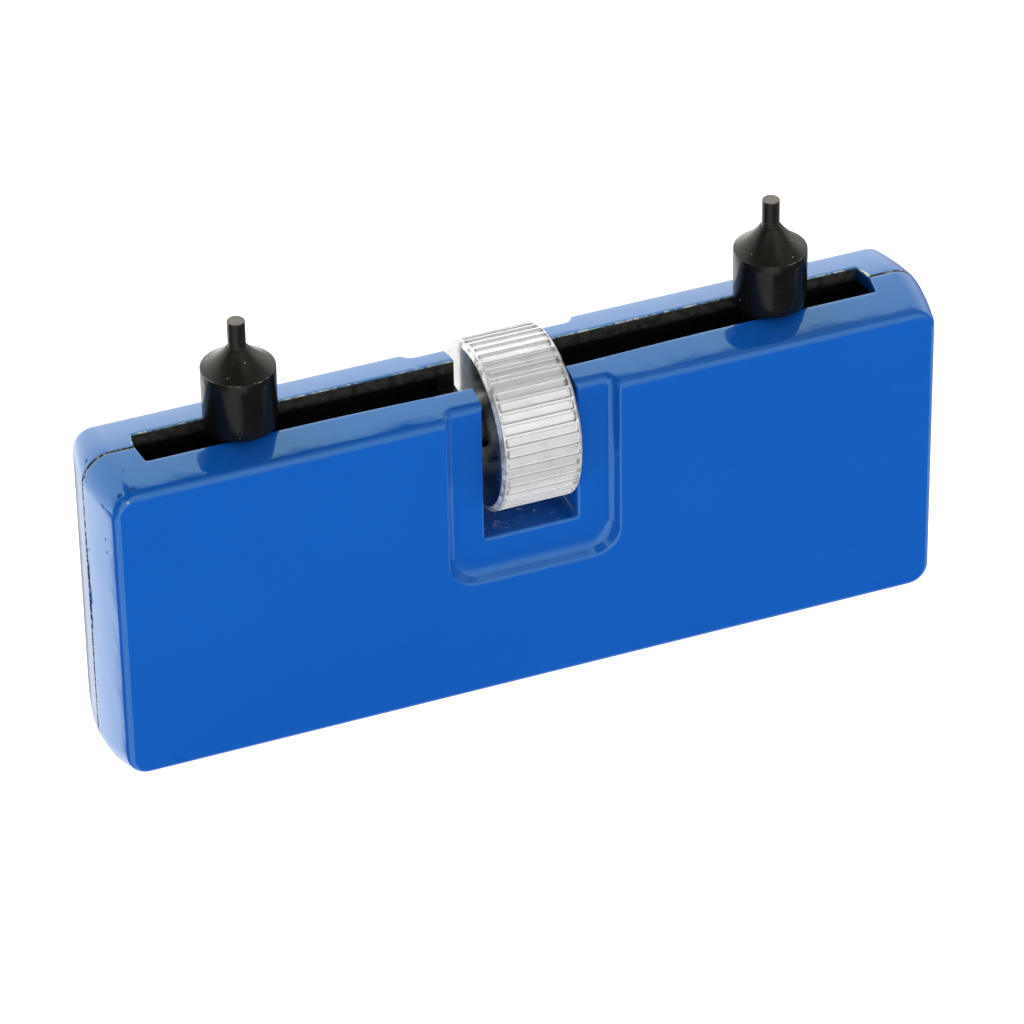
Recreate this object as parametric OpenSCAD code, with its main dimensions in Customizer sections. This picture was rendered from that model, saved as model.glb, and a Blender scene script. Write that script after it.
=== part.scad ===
// Case back opener: a two-shell body with a thumbwheel in a central window. The wheel turns a
// lead screw with opposite threads, which moves two pin jaws apart or together along a top slot.
// Millimetres. X runs along the body, -Y is the front, +Z is up along the jaw pins.
// The origin is the centre of the bottom land, on the seam between the two shells.

/* [Body] */
// Overall length of the body, at the seam
body_l = 80; // [78:0.5:84]
// Height of the body, from the bottom land to the seam line at the top
body_h = 32; // [31.5:0.25:33]
// Overall thickness across the two shells
body_t = 12.1; // [12:0.1:13.5]
// How far the ends lean in from the seam to the front edge
end_draft = 0.87; // [0.4:0.01:1.2]
// How far the top leans down from the seam to the front edge
top_draft = 0.8; // [0.4:0.01:1.2]
// How late the sides start to lean in: 1 is an even slope from the seam, 2 a late one
draft_curve = 1.5; // [1:0.1:2]
// Radius of the rounded edge around each outer face
edge_r = 0.8; // [0.4:0.05:1]
// Corner radius of the outline at the seam
seam_corner_r = 2.8; // [2.2:0.1:4]
// Corner radius of the outline where the edge rounding starts
face_corner_r = 2; // [1.6:0.1:2.6]
// Half-width of the flat land that the body stands on
land_half = 2.6; // [1.5:0.1:3]

/* [Thumb recess and window] */
// Width of the thumb recess at the outer face
recess_w = 16.9; // [16:0.1:18]
// Width of the recess's flat floor
recess_floor_w = 14.3; // [13.5:0.1:15]
// Height of the recess's lower edge at the outer face
recess_z = 12.7; // [12:0.1:13.5]
// Height of the lower edge of the recess's floor
recess_floor_z = 14.5; // [14:0.25:15]
// Depth of the recess
recess_depth = 1; // [0.6:0.05:1.1]
// Width of the wheel window
window_w = 8.9; // [8.9:0.1:9.4]
// Height of the window's floor
window_z = 17; // [16:0.25:17.25]

/* [Slot] */
// Width of the slot that the jaws travel in
slot_w = 4.3; // [4.3:0.05:4.6]
// Length of the slot on the seam
slot_l = 70.1; // [69.5:0.1:70.5]
// How much shorter the slot is at its two edges than on the seam, at each end
slot_draft = 0.3; // [0:0.05:0.5]

/* [Thumbwheel] */
// Height of the wheel and screw axis
axis_z = 25.85; // [25.6:0.05:26]
// Outer diameter of the wheel
wheel_d = 15.8; // [15:0.1:16]
// Width of the wheel
wheel_w = 7.7; // [7.2:0.1:7.8]
// Where the wheel sits along the screw, with the side play taken up to the right
wheel_x = 0.2; // [0:0.05:0.25]
// Number of flutes around the wheel
flutes = 46; // [40:1:50]
// Depth of each flute
flute_depth = 0.22; // [0.1:0.01:0.3]
// Length of each flute, which leaves a plain rim at both sides of the wheel
flute_l = 6.9; // [6.5:0.1:7]

/* [Lead screw] */
// Outer diameter of the thread
thread_d = 4; // [3.6:0.1:4]
// Pitch of the thread
pitch = 1; // [0.7:0.05:1.25]
// Depth of the thread
thread_depth = 0.5; // [0.3:0.05:0.6]
// Running clearance around the screw, per side
run_gap = 0.05; // [0.03:0.01:0.08]

/* [Jaws] */
// Distance of each jaw from the centre
jaw_x = 25.25; // [10:0.25:31]
// Diameter of the jaw's head
head_d = 6.7; // [6.4:0.1:7.2]
// Height of the underside of the heads
head_z = 32.1; // [32.1:0.05:32.6]
// Height of the left head's shoulder
left_shoulder_z = 38; // [37:0.05:39]
// Height of the right head's shoulder
right_shoulder_z = 37.6; // [37:0.05:39]
// Height where the straight pin starts
pin_z = 40.2; // [40:0.05:41]
// Height of the pin's end
tip_z = 42.7; // [42:0.1:44]
// Diameter of the pin
pin_d = 1.6; // [1.2:0.1:2]
// Sag of the hollow cone between the shoulder and the pin
cone_sag = 0.18; // [0:0.01:0.3]

/* [Fasteners] */
// Distance of the inner and outer shell screws from the centre
screw_x = [12.5, 32.5];
// Height of the shell screws
screw_z = 8; // [7.5:0.25:9]
// Diameter of the shell screws
screw_d = 2.5; // [2:0.1:2.6]
// Diameter of a shell screw's head
screw_head_d = 4.6; // [4.2:0.1:5]

/* [Hidden] */
$fn = 64;
eps = 0.01;
paint_blue = [0.10, 0.36, 0.74];
blackened = [0.10, 0.10, 0.11];
bright_alu = [0.86, 0.87, 0.88];
steel = [0.62, 0.63, 0.65];
brass = [0.80, 0.66, 0.36];

half_l = body_l / 2;
half_t = body_t / 2;
shell_wall = 1.6;
// the channel that the nut blocks slide in, under the slot's lips
channel_half = 4.05;
channel_top = 30.4;
channel_floor = 21.8;
channel_end = 35.6;
// the slot is cut down to here, and leaves the cheeks whole around the centre bushes
slot_floor = 29.2;
cheek = 1.6;
channel_start = window_w / 2 + cheek;
// the hollow below the channel
pocket_x = [10, 36.4];
pocket_z = [3, 19.6];
boss_r = 2.9;
// bushes and washers
centre_bush_d = 6;
end_bush_d = 5.6;
end_journal_d = 2.8;
bush_end = 38.1;
washer_t = 0.35;
// nut block
block_l = 6;
block_half = 3.9;
block_z = [22.1, 29.7];
neck_l = 5;
neck_half = 2;
stud_d = 2.5;
stud_z = 28.15;
lock_z = 28.95;
lock_d = 0.8;
// guide strip
strip_inner = 2.1;
strip_t = 0.6;
// locating pins
locate_x = 22;
locate_z = 16;
locate_d = 2;
locate_half = 3.2;
boss_drill = 4;
wheel_pin_d = 1.5;

// points along an arc, from angle a0 to a1
function arc(cx, cy, r, a0, a1, n) =
  [for (i = [0:n]) [cx + r * cos(a0 + (a1 - a0) * i / n), cy + r * sin(a0 + (a1 - a0) * i / n)]];

// a rectangle from [-x, z0] to [x, z1] with rounded corners
function rounded_rect(x, z0, z1, r, n = 8) = concat(
  arc(x - r, z0 + r, r, -90, 0, n),
  arc(x - r, z1 - r, r, 0, 90, n),
  arc(-x + r, z1 - r, r, 90, 180, n),
  arc(-x + r, z0 + r, r, 180, 270, n)
);

// a thin plate of an XZ outline, whose front is at y
module plate(y, points) {
  translate([0, y + eps, 0]) rotate([90, 0, 0]) linear_extrude(eps) polygon(points);
}

// a box given by its ranges in x, y and z
module box(x, y, z) {
  translate([x[0], y[0], z[0]]) cube([x[1] - x[0], y[1] - y[0], z[1] - z[0]]);
}

// a cylinder along X between x0 and x1 on the screw's axis
module x_rod(x0, x1, d) {
  translate([x0, 0, axis_z]) rotate([0, 90, 0]) cylinder(h = x1 - x0, d = d);
}

// a cylinder along Y between y0 and y1
module y_rod(x, y0, y1, z, d) {
  translate([x, y1, z]) rotate([90, 0, 0]) cylinder(h = y1 - y0, d = d);
}

// the outline of a shell at a distance from the seam: 0 at the seam, 1 where the edge rounding starts
function outline_at(f, y, inset, r) =
  let (rise = max(0, (y - land_half) / (half_t - edge_r - land_half)) * top_draft)
  rounded_rect(half_l - f * end_draft - inset, rise + inset, body_h - f * top_draft - inset, r);

module shell_form() {
  straight = half_t - edge_r;
  hull() {
    plate(-eps, outline_at(0, 0, 0, seam_corner_r));
    for (y = [land_half / 2, land_half, (land_half + straight) / 2]) {
      f = pow(y / straight, draft_curve);
      plate(-y, outline_at(f, y, 0, seam_corner_r + (face_corner_r - seam_corner_r) * f));
    }
    for (a = [0:18:90])
      plate(-straight - edge_r * sin(a),
        outline_at(1, straight, edge_r * (1 - cos(a)), face_corner_r - edge_r * (1 - cos(a))));
  }
}

// the thumb recess with its sloping sides, open at the top
module recess() {
  hull() {
    plate(-half_t - 0.1, rounded_rect(recess_w / 2, recess_z, body_h + 6, 2.75));
    plate(-half_t + recess_depth, rounded_rect(recess_floor_w / 2, recess_floor_z, body_h + 6, 2));
  }
}

// half of the slot: its ends lean in from the seam to its edge
module slot_half() {
  s = slot_w / 2;
  l = slot_l / 2;
  translate([0, 0, slot_floor])
    linear_extrude(12)
      polygon([[-l, 0.1], [-l, 0], [slot_draft - l, -s], [l - slot_draft, -s], [l, 0], [l, 0.1]]);
}

// one casting, as the front shell: everything that the two shells have in common
module casting() {
  difference() {
    shell_form();
    recess();
    slot_half();
    box([-window_w / 2, window_w / 2], [-half_t - 1, 1], [window_z, body_h + 5]);
    for (side = [-1, 1]) {
      a = side * channel_start;
      b = side * channel_end;
      box([min(a, b), max(a, b)], [-channel_half, 1], [channel_floor, channel_top]);
      difference() {
        box([min(side * pocket_x[0], side * pocket_x[1]), max(side * pocket_x[0], side * pocket_x[1])],
          [-half_t + shell_wall, 1], pocket_z);
        for (x = screw_x) y_rod(side * x, -half_t, 2, screw_z, 2 * boss_r);
        y_rod(side * locate_x, -half_t, 2, locate_z, 2 * boss_r);
      }
      y_rod(side * locate_x, -locate_half, 1, locate_z, locate_d);
    }
    x_rod(-channel_start - 1, channel_start + 1, centre_bush_d);
    x_rod(-bush_end, bush_end, end_bush_d);
  }
}

module front_shell() {
  color(paint_blue) difference() {
    casting();
    for (x = screw_x, side = [-1, 1]) y_rod(side * x, -boss_drill, 1, screw_z, screw_d);
  }
}

module rear_shell() {
  color(paint_blue) difference() {
    rotate([0, 0, 180]) casting();
    for (x = screw_x, side = [-1, 1]) {
      y_rod(side * x, -1, half_t + 1, screw_z, screw_d + 0.2);
      countersunk_cone(side * x, screw_head_d + 0.1, half_t + eps);
    }
  }
}

// the cone of a countersunk head, as wide as d at y
module countersunk_cone(x, d, y) {
  translate([x, y, screw_z]) rotate([90, 0, 0])
    cylinder(h = (d - screw_d) / 2, d1 = d, d2 = screw_d);
}

module shell_screws() {
  color(steel) for (x = screw_x, side = [-1, 1]) difference() {
    union() {
      countersunk_cone(side * x, screw_head_d, half_t - 0.02);
      y_rod(side * x, -boss_drill + 0.3, half_t - 1, screw_z, screw_d);
    }
    box([side * x - 3, side * x + 3], [half_t - 0.55, half_t + 1], [screw_z - 0.3, screw_z + 0.3]);
  }
}

module locating_pins() {
  color(steel) for (side = [-1, 1])
    y_rod(side * locate_x, -locate_half + 0.1, locate_half - 0.1, locate_z, locate_d);
}

// a flat wear strip under one lip of the slot
module guide_strip(side_x, side_y) {
  x = [channel_start + 0.1, channel_end - 0.1];
  y = [strip_inner, channel_half - 0.05];
  color(blackened) box(
    [min(side_x * x[0], side_x * x[1]), max(side_x * x[0], side_x * x[1])],
    [min(side_y * y[0], side_y * y[1]), max(side_y * y[0], side_y * y[1])],
    [channel_top - strip_t, channel_top]);
}
module left_front_guide_strip() { guide_strip(-1, -1); }
module left_rear_guide_strip() { guide_strip(-1, 1); }
module right_front_guide_strip() { guide_strip(1, -1); }
module right_rear_guide_strip() { guide_strip(1, 1); }

// a ring along X between x0 and x1
module x_ring(x0, x1, outer, inner) {
  difference() {
    x_rod(x0, x1, outer);
    x_rod(x0 - 1, x1 + 1, inner);
  }
}
module end_bush() {
  color(brass)
    x_ring(channel_end + 0.05, bush_end, end_bush_d, end_journal_d + 2 * run_gap);
}
module left_end_bush() { mirror([1, 0, 0]) end_bush(); }
module right_end_bush() { end_bush(); }
module centre_bush() {
  color(brass) x_ring(window_w / 2, channel_start, centre_bush_d, thread_d + 2 * run_gap);
}
module left_centre_bush() { mirror([1, 0, 0]) centre_bush(); }
module right_centre_bush() { centre_bush(); }
module thrust_washer() {
  color(steel) x_ring(window_w / 2 - washer_t, window_w / 2, centre_bush_d + 1, thread_d + 0.2);
}
module left_thrust_washer() { mirror([1, 0, 0]) thrust_washer(); }
module right_thrust_washer() { thrust_washer(); }

// one side of the screw: a threaded length, drawn as rings, and an end journal
module threaded_side() {
  r = thread_d / 2;
  root = r - thread_depth;
  start = channel_start + 0.2;
  turns = floor((channel_end - start - 0.3) / pitch);
  outline = concat(
    [[0, 0], [r, 0]],
    [for (i = [0:turns - 1], p = [[r, 0.15], [root, 0.4], [root, 0.6], [r, 0.85]])
      [p[0], start + (i + p[1]) * pitch]],
    [[r, start + turns * pitch], [end_journal_d / 2, start + turns * pitch + 0.2],
      [end_journal_d / 2, bush_end - 0.3], [end_journal_d / 2 - 0.2, bush_end - 0.1],
      [0, bush_end - 0.1]]
  );
  translate([0, 0, axis_z]) rotate([0, 90, 0]) rotate_extrude() polygon(outline);
}
module lead_screw() {
  color(steel) difference() {
    union() {
      threaded_side();
      mirror([1, 0, 0]) threaded_side();
    }
    translate([wheel_x, 0, axis_z]) cylinder(h = thread_d + 1, d = wheel_pin_d, center = true);
  }
}

// the wheel: chamfered rims, with round-bottomed flutes that stop short of them
module thumbwheel() {
  r = wheel_d / 2;
  w = wheel_w / 2;
  bore = thread_d / 2;
  chord = 0.4 * PI * wheel_d / flutes;
  cutter = (chord * chord + flute_depth * flute_depth) / (2 * flute_depth);
  color(bright_alu) difference() {
    translate([wheel_x, 0, axis_z]) rotate([0, 90, 0]) rotate_extrude() polygon([
      [bore, -w], [r - 0.5, -w], [r, -w + 0.3], [r, w - 0.3], [r - 0.5, w], [bore, w]
    ]);
    for (i = [0:flutes - 1])
      translate([wheel_x, 0, axis_z]) rotate([360 * i / flutes, 0, 0])
        translate([-flute_l / 2, 0, r - flute_depth + cutter])
          rotate([0, 90, 0]) cylinder(h = flute_l, r = cutter);
    translate([wheel_x, 0, axis_z - r - 1]) cylinder(h = r + 1, d = wheel_pin_d);
    translate([wheel_x, 0, axis_z]) cylinder(h = thread_d / 2 + 1.5, d = wheel_pin_d);
  }
}
module wheel_pin() {
  color(steel) translate([wheel_x, 0, axis_z - wheel_d / 2 + 0.6])
    cylinder(h = wheel_d / 2 - 0.6 + thread_d / 2 + 1.4, d = wheel_pin_d);
}

// the carriage at the left: the screw runs through its block and the neck rides in the slot
module nut_block() {
  color(blackened) difference() {
    union() {
      box([-block_l / 2, block_l / 2], [-block_half, block_half], block_z);
      box([-neck_l / 2, neck_l / 2], [-neck_half, neck_half], [block_z[1] - 1, head_z]);
    }
    x_rod(-block_l, block_l, thread_d + 2 * run_gap);
    translate([0, 0, stud_z]) cylinder(h = 10, d = stud_d);
    y_rod(0, -block_half - 1, block_half + 1, lock_z, lock_d);
  }
}
module left_nut_block() { translate([-jaw_x, 0, 0]) nut_block(); }
module right_nut_block() { translate([jaw_x, 0, 0]) nut_block(); }

module lock_pin() {
  color(steel) y_rod(0, -block_half + 0.2, block_half - 0.2, lock_z, lock_d);
}
module left_jaw_pin_lock() { translate([-jaw_x, 0, 0]) lock_pin(); }
module right_jaw_pin_lock() { translate([jaw_x, 0, 0]) lock_pin(); }

// a turned jaw: stud, round head, hollow cone and pin
module jaw(shoulder_z) {
  hr = head_d / 2;
  pr = pin_d / 2;
  dr = hr - pr;
  dz = pin_z - shoulder_z;
  run = norm([dr, dz]);
  cone = [for (i = [0:8]) let (t = i / 8, sag = 4 * cone_sag * t * (1 - t))
    [hr - dr * t - sag * dz / run, shoulder_z + dz * t - sag * dr / run]];
  color(blackened) difference() {
    rotate_extrude() polygon(concat(
      [[0, stud_z + 0.05], [stud_d / 2, stud_z + 0.05], [stud_d / 2, head_z],
        [hr - 0.1, head_z], [hr, head_z + 0.1]],
      cone,
      [[pr, tip_z - 0.06], [pr - 0.06, tip_z], [0, tip_z]]
    ));
    y_rod(0, -3, 3, lock_z, lock_d);
  }
}
module left_jaw() { translate([-jaw_x, 0, 0]) jaw(left_shoulder_z); }
module right_jaw() { translate([jaw_x, 0, 0]) jaw(right_shoulder_z); }

front_shell();
rear_shell();
shell_screws();
locating_pins();
left_front_guide_strip();
left_rear_guide_strip();
right_front_guide_strip();
right_rear_guide_strip();
left_end_bush();
right_end_bush();
left_centre_bush();
right_centre_bush();
left_thrust_washer();
right_thrust_washer();
lead_screw();
thumbwheel();
wheel_pin();
left_nut_block();
right_nut_block();
left_jaw_pin_lock();
right_jaw_pin_lock();
left_jaw();
right_jaw();
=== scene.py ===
import math

import bmesh
import bpy
from mathutils import Matrix, Vector, noise


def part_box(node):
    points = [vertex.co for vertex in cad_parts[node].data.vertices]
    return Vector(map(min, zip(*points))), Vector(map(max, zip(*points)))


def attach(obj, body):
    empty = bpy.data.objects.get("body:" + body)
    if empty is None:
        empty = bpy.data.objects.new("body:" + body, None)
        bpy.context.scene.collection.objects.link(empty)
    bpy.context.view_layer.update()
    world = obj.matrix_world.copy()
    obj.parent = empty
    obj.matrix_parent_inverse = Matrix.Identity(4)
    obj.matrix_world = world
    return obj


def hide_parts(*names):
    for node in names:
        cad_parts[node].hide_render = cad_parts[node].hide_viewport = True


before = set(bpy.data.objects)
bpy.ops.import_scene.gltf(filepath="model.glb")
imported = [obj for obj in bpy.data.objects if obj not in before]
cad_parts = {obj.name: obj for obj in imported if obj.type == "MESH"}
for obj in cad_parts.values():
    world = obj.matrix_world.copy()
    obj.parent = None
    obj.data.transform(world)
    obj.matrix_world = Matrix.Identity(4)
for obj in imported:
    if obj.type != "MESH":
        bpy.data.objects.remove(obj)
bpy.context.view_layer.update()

# Lengths below are in millimetres, and mesh_object() turns them into metres.
MM = 0.001


def box_mm(node):
    """Lowest and highest corner of a CAD node, in millimetres."""
    low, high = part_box(node)
    return low / MM, high / MM


# ---- sizes read from the frame ----
BODY_LOW, BODY_HIGH = box_mm("front_shell")
HALF_L = BODY_HIGH.x
HALF_T = -BODY_LOW.y
BODY_H = BODY_HIGH.z
SCREW_LOW, SCREW_HIGH = box_mm("lead_screw")
AXIS_Z = (SCREW_LOW.z + SCREW_HIGH.z) / 2
THREAD_R = (SCREW_HIGH.z - SCREW_LOW.z) / 2
WHEEL_LOW, WHEEL_HIGH = box_mm("thumbwheel")
WHEEL_X = (WHEEL_LOW.x + WHEEL_HIGH.x) / 2
WHEEL_HALF_W = (WHEEL_HIGH.x - WHEEL_LOW.x) / 2
WHEEL_R = (WHEEL_HIGH.z - WHEEL_LOW.z) / 2
WINDOW_HALF = box_mm("right_thrust_washer")[1].x
CHANNEL_START = box_mm("right_centre_bush")[1].x
BUSH_END = box_mm("right_end_bush")[1].x
CHANNEL_TOP = box_mm("right_rear_guide_strip")[1].z

# ---- the shells' details, as in the CAD ----
# the sides lean in by the drafts, along a curve whose power is DRAFT_CURVE, up to the face's round edge
END_DRAFT = 0.87
TOP_DRAFT = 0.8
DRAFT_CURVE = 1.5
EDGE_R = 0.8
SEAM_CORNER_R = 2.8
FACE_CORNER_R = 2.0
LAND_HALF = 2.6
RECESS_HALF = 8.45
RECESS_FLOOR_HALF = 7.15
RECESS_Z = 12.7
RECESS_FLOOR_Z = 14.5
RECESS_DEPTH = 1.0
RECESS_CORNER_R = 2.9
RECESS_CORNER_LESS = 0.9
WINDOW_Z = 17.0
WINDOW_EDGE_R = 0.35
SLOT_HALF_L = 35.05
SLOT_DRAFT = 0.3
SLOT_HALF_W = 2.15
SLOT_FLOOR = 29.2
SLOT_LIP_R = 0.14
CHANNEL_HALF = 4.05
CHANNEL_FLOOR = 21.8
CHANNEL_END = 35.6
POCKET_X = (10.0, 36.4)
POCKET_Z = (3.0, 19.6)
POCKET_WALL = 1.6
BOSS_R = 2.9
CENTRE_BUSH_R = 3.0
END_BUSH_R = 2.8
SCREW_X = (12.5, 32.5)
SCREW_Z = 8.0
SCREW_R = 1.25
SCREW_HEAD_R = 2.3
SCREW_DEPTH = 4.0
LOCATE_X = 22.0
LOCATE_Z = 16.0
LOCATE_R = 1.0
LOCATE_HALF = 3.2

# ---- what only the visual model has ----
FLUTE_HALF_L = 3.45
# the torn film at the seam: its depth, and the x and z outside which it is pulled back
SEAM_DEPTH = 0.2
TEAR_FROM_X = 37.5
TEAR_FROM_Z = (2.5, 29.5)
CHIP = (-37.75, -6.0, 30.65)
# how finely the shells are divided: at the corners, over the face's round edge, and along the outline's sides
CORNER_STEPS = 10
EDGE_STEPS = 10
END_STEPS = 48
BOTTOM_STEPS = 160
TOP_REACH = 37.0
TOP_STEP = 0.45
INSIDE_STEPS = 14


# ---- meshes ----
def mesh_object(name, points, faces, materials, slots=None):
    """A new object from points in millimetres. slots gives each face's material index."""
    mesh = bpy.data.meshes.new(name)
    mesh.from_pydata([Vector(p) * MM for p in points], [], faces)
    for material in materials:
        mesh.materials.append(material)
    if slots:
        mesh.polygons.foreach_set("material_index", slots)
    bm = bmesh.new()
    bm.from_mesh(mesh)
    bmesh.ops.recalc_face_normals(bm, faces=bm.faces)
    bm.to_mesh(mesh)
    bm.free()
    obj = bpy.data.objects.new(name, mesh)
    bpy.context.scene.collection.objects.link(obj)
    return obj


def loft(rings, caps=(True, True), wrap=False):
    """Quads between rings of equal length. Each end is closed by a cap, or wrap joins the ends."""
    n = len(rings[0])
    points = [p for ring in rings for p in ring]
    faces = []
    count = len(rings) if wrap else len(rings) - 1
    for i in range(count):
        a, b = i * n, (i + 1) % len(rings) * n
        for j in range(n):
            k = (j + 1) % n
            faces.append((a + j, a + k, b + k, b + j))
    if caps[0] and not wrap:
        faces.append(tuple(reversed(range(n))))
    if caps[1] and not wrap:
        faces.append(tuple(range(len(points) - n, len(points))))
    return points, faces


def rounded_outline(half_x, z0, z1, r, corner=CORNER_STEPS, sides=None):
    """Points (x, z) of an upright rectangle with round corners. sides(i, a, b) adds points along side i."""
    x = half_x - r
    centres = [(x, z0 + r), (x, z1 - r), (-x, z1 - r), (-x, z0 + r)]
    arcs = []
    for i, (cx, cz) in enumerate(centres):
        start = -90 + 90 * i
        angles = [math.radians(start + 90 * k / corner) for k in range(corner + 1)]
        arcs.append([(cx + r * math.cos(a), cz + r * math.sin(a)) for a in angles])
    outline = []
    for i, arc in enumerate(arcs):
        outline += arc
        if sides:
            outline += sides(i, arc[-1], arcs[(i + 1) % 4][0])
    return outline


def at_y(outline, y):
    """An (x, z) outline as a ring of points at y."""
    return [(x, y, z) for x, z in outline]


def smooth(obj, sharp_above=38):
    """Smooth shading, with the edges above an angle kept sharp."""
    bm = bmesh.new()
    bm.from_mesh(obj.data)
    for face in bm.faces:
        face.smooth = True
    for edge in bm.edges:
        edge.smooth = not (edge.is_manifold and edge.calc_face_angle() > math.radians(sharp_above))
    bm.to_mesh(obj.data)
    bm.free()
    return obj


def weighted_normals(obj):
    """Large flat faces keep flat shading up to their rounded edges."""
    modifier = obj.modifiers.new("weighted_normals", "WEIGHTED_NORMAL")
    modifier.keep_sharp = True
    modifier.weight = 80
    return obj


def cut(obj, cutters):
    """Subtracts the cutters from obj's mesh, and removes them."""
    for cutter in cutters:
        modifier = obj.modifiers.new("cut", "BOOLEAN")
        modifier.operation = "DIFFERENCE"
        modifier.solver = "EXACT"
        modifier.object = cutter
    graph = bpy.context.evaluated_depsgraph_get()
    mesh = bpy.data.meshes.new_from_object(obj.evaluated_get(graph))
    obj.modifiers.clear()
    obj.data = mesh
    for cutter in cutters:
        bpy.data.objects.remove(cutter)
    return obj


def box_cutter(x, y, z, materials, slot):
    """A box given by its ranges, whose faces carry one of the materials."""
    corners = [(a, b, c) for a in x for b in y for c in z]
    faces = [(0, 1, 3, 2), (4, 6, 7, 5), (0, 4, 5, 1), (2, 3, 7, 6), (0, 2, 6, 4), (1, 5, 7, 3)]
    return mesh_object("cutter", corners, faces, materials, [slot] * 6)


def rod_cutter(rings, axis, centre, materials, slot, sides=48):
    """A round cutter: rings of (place along the axis, radius), about a line along X or Y."""
    made = []
    for place, r in rings:
        ring = []
        for k in range(sides):
            a = 2 * math.pi * k / sides
            u, v = r * math.cos(a), r * math.sin(a)
            if axis == "x":
                ring.append((place, centre[0] + u, centre[1] + v))
            else:
                ring.append((centre[0] + u, place, centre[1] + v))
        made.append(ring)
    points, faces = loft(made)
    return mesh_object("cutter", points, faces, materials, [slot] * len(faces))


def lathe(name, profile, centre, materials, slot_of=lambda r, z: 0, sides=96):
    """A turned piece about Z: profile is (r, z) from the bottom to the top, starting and ending at r = 0."""
    rings = []
    for r, z in profile[1:-1]:
        angles = [2 * math.pi * k / sides for k in range(sides)]
        rings.append([(centre[0] + r * math.cos(a), centre[1] + r * math.sin(a), z) for a in angles])
    points, faces = loft(rings)
    slots = []
    for face in faces:
        p = [points[i] for i in face]
        z = sum(q[2] for q in p) / len(p)
        r = sum(math.hypot(q[0] - centre[0], q[1] - centre[1]) for q in p) / len(p)
        slots.append(slot_of(r, z))
    return mesh_object(name, points, faces, materials, slots)


# ---- node trees ----
class Nodes:
    """A node tree whose nodes are added by short calls. An input is a value or another node's socket."""

    def __init__(self, tree):
        self.tree = tree

    def add(self, kind, inputs=None, **settings):
        node = self.tree.nodes.new(kind)
        for key, value in settings.items():
            setattr(node, key, value)
        for key, value in (inputs or {}).items():
            if isinstance(value, bpy.types.NodeSocket):
                self.tree.links.new(value, node.inputs[key])
            else:
                node.inputs[key].default_value = value
        return node

    def math(self, operation, a, b=0.0):
        return self.add("ShaderNodeMath", {0: a, 1: b}, operation=operation).outputs[0]

    def times(self, a, b):
        return self.math("MULTIPLY", a, b)

    def plus(self, a, b):
        return self.math("ADD", a, b)

    def size(self, a):
        return self.math("ABSOLUTE", a)

    def range(self, value, low, high, to_low=0.0, to_high=1.0):
        """A soft step from to_low, where the value is low, to to_high, where it is high."""
        inputs = {"Value": value, "From Min": low, "From Max": high, "To Min": to_low, "To Max": to_high}
        return self.add("ShaderNodeMapRange", inputs, interpolation_type="SMOOTHSTEP").outputs["Result"]


class Material(Nodes):
    """A material whose textures are placed by the object's own coordinates. Texture scales are per metre."""

    def __init__(self, name, **settings):
        self.material = bpy.data.materials.new(name)
        self.material.use_nodes = True
        super().__init__(self.material.node_tree)
        self.bsdf = self.tree.nodes["Principled BSDF"]
        for key, value in settings.items():
            self.bsdf.inputs[key.replace("_", " ")].default_value = value
        self.place = self.add("ShaderNodeTexCoord").outputs["Object"]

    def link(self, output, socket):
        self.tree.links.new(output, self.bsdf.inputs[socket])

    def stretched(self, scale, turn=(0, 0, 0)):
        inputs = {"Vector": self.place, "Scale": scale, "Rotation": turn}
        return self.add("ShaderNodeMapping", inputs).outputs[0]

    def noise(self, scale, detail=2.0, rough=0.5, place=None):
        inputs = {"Vector": place or self.place, "Scale": scale, "Detail": detail, "Roughness": rough}
        return self.add("ShaderNodeTexNoise", inputs).outputs["Fac"]

    def split(self):
        """The x, y and z of the place on the object."""
        return self.add("ShaderNodeSeparateXYZ", {0: self.place}).outputs

    def specks(self, scale, far, near, above):
        """Specks at scattered points: nothing at the distance far, full at near. above leaves out most."""
        node = self.add("ShaderNodeTexVoronoi", {"Vector": self.place, "Scale": scale})
        chosen = self.math("GREATER_THAN", node.outputs["Color"], above)
        return self.times(self.range(node.outputs["Distance"], far, near), chosen)

    def from_axis(self):
        """Distance from the screw's axis."""
        y, z = self.split()[1:3]
        height = self.math("SUBTRACT", z, AXIS_Z * MM)
        return self.math("SQRT", self.plus(self.math("POWER", y, 2.0), self.math("POWER", height, 2.0)))

    def mix(self, factor, a, b):
        return self.add("ShaderNodeMix", {0: factor, 6: a, 7: b}, data_type="RGBA").outputs[2]

    def bump(self, height, distance, strength=1.0, normal=None):
        inputs = {"Height": height, "Distance": distance, "Strength": strength}
        if normal:
            inputs["Normal"] = normal
        return self.add("ShaderNodeBump", inputs).outputs[0]


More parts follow.
